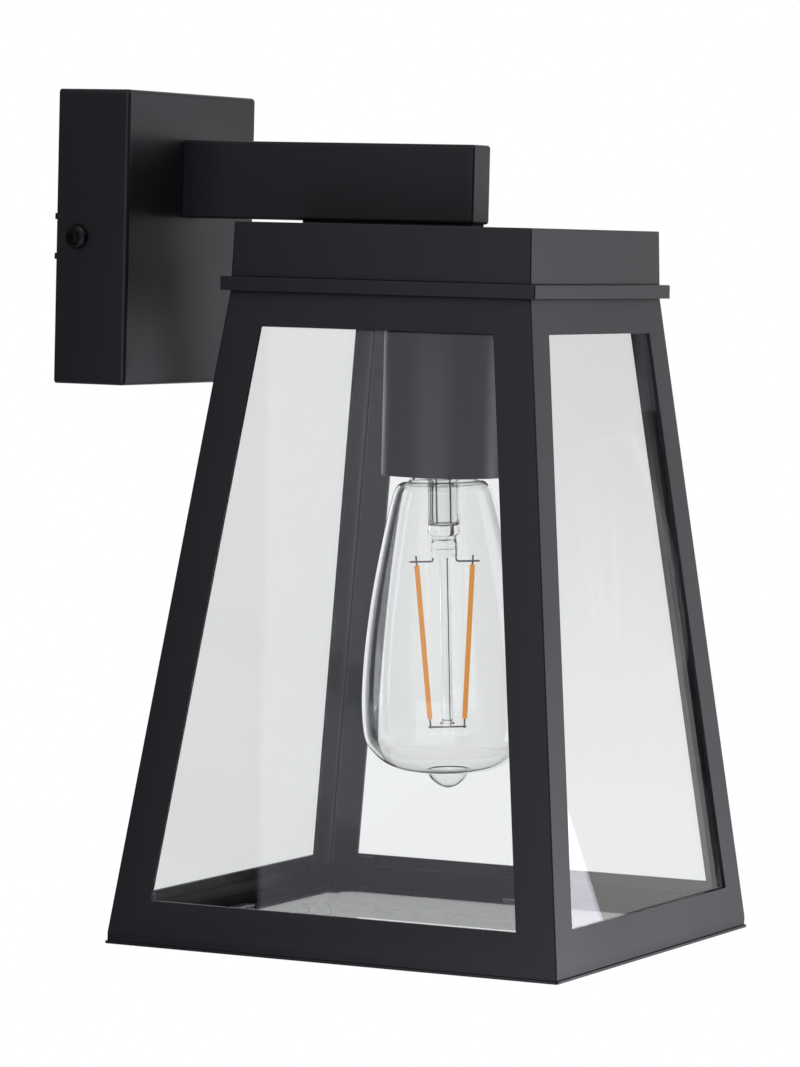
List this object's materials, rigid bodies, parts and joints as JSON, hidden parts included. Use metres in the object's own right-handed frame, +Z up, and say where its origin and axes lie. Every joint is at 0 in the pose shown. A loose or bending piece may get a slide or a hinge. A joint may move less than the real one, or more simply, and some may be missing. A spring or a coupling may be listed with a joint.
{
  "type": "outdoor wall lantern",
  "caption": "Wall lantern: boxed wall plate, square arm, tapering four-sided glazed body hung below it, removable glazed base and a screw-in filament bulb.",
  "frame": {"origin": "on the wall, at the centre of the wall bracket's screw pattern", "axes": "+X right for someone who faces the wall, +Y into the wall, +Z up"},
  "size_m": [0.1814, 0.2309, 0.3148],
  "materials": {
    "powder_coat_black": "fine-textured satin black powder coat over folded sheet steel",
    "black_screw": "black-finished steel fasteners",
    "zinc_steel": "zinc-plated steel",
    "rubber_black": "matt black rubber",
    "brass_plain": "plain brass",
    "terminal_white": "white moulded nylon",
    "clear_glass": "clear float glass with green-tinted ground edges",
    "holder_charcoal": "smooth satin charcoal lacquer over steel",
    "porcelain": "white glazed porcelain",
    "nickel_shell": "nickel-plated rolled brass",
    "wire_brown": "brown insulated wire",
    "wire_blue": "blue insulated wire",
    "wire_green": "green and yellow insulated wire",
    "black_insulator": "black glass insulator",
    "solder_tip": "solder",
    "bulb_glass": "thin clear blown glass",
    "filament_amber": "amber phosphor-coated filament strips",
    "lead_wire": "fine nickel-steel wire"
  },
  "bodies": {
    "lantern": {"wall_bracket": "powder_coat_black", "cable_grommet": "rubber_black", "backplate_cover": "powder_coat_black", "cover_screws": "black_screw", "cover_seal_washers": "rubber_black", "bracket_earth_screw": "brass_plain", "bracket_earth_washer": "brass_plain", "terminal_block": "terminal_white", "terminal_inserts": "brass_plain", "terminal_clamp_screws": "zinc_steel", "terminal_fixing_screw": "zinc_steel", "arm_tube": "powder_coat_black", "arm_end_plug": "powder_coat_black", "arm_root_plate": "zinc_steel", "arm_backing_plate": "zinc_steel", "arm_screws": "zinc_steel", "arm_screw_washers": "zinc_steel", "arm_gasket": "rubber_black", "nipple_boss": "zinc_steel", "hanger_nipple": "zinc_steel", "nipple_washer": "zinc_steel", "nipple_nut": "zinc_steel", "cap_shell": "powder_coat_black", "top_tray": "powder_coat_black", "head_screws": "zinc_steel", "frame_front": "powder_coat_black", "frame_right": "powder_coat_black", "frame_back": "powder_coat_black", "frame_left": "powder_coat_black", "glass_front": "clear_glass", "glass_right": "clear_glass", "glass_back": "clear_glass", "glass_left": "clear_glass", "glass_clips_lower": "powder_coat_black", "glass_clips_upper": "powder_coat_black", "corner_tabs": "powder_coat_black", "holder_cup": "holder_charcoal", "holder_saddle": "zinc_steel", "hanger_lock_nut": "zinc_steel", "holder_body": "porcelain", "holder_terminals": "brass_plain", "holder_centre_contact": "brass_plain", "holder_shell": "nickel_shell", "holder_screws": "zinc_steel", "wire_live": "wire_brown", "wire_neutral": "wire_blue", "wire_earth": "wire_green"},
    "base_tray": {"base_plate": "powder_coat_black", "base_glass": "clear_glass", "base_glass_clips": "zinc_steel", "base_screws": "black_screw"},
    "bulb_screw_cap": {"bulb_cap": "nickel_shell", "bulb_insulator": "black_insulator", "bulb_tip": "solder_tip"},
    "bulb_glassware": {"bulb_envelope": "bulb_glass", "bulb_stem": "bulb_glass", "bulb_filaments": "filament_amber", "bulb_leads": "lead_wire"}
  },
  "joints": [
    {"name": "base_lower", "type": "slide", "parent": "lantern", "child": "base_tray", "axis": [0, 0, -1], "range_m": [0, 0.08]},
    {"name": "bulb_drop", "type": "slide", "parent": "lantern", "child": "bulb_screw_cap", "axis": [0, 0, -1], "range_m": [0, 0.01452]},
    {"name": "bulb_turn", "type": "hinge", "parent": "bulb_screw_cap", "child": "bulb_glassware", "pos_m": [0, -0.1402, -0.1], "axis": [0, 0, -1], "range_deg": [0, 1440]}
  ],
  "couplings": [
    {"joint": "bulb_drop", "follows": "bulb_turn", "m_per_rad": 0.00057757}
  ]
}
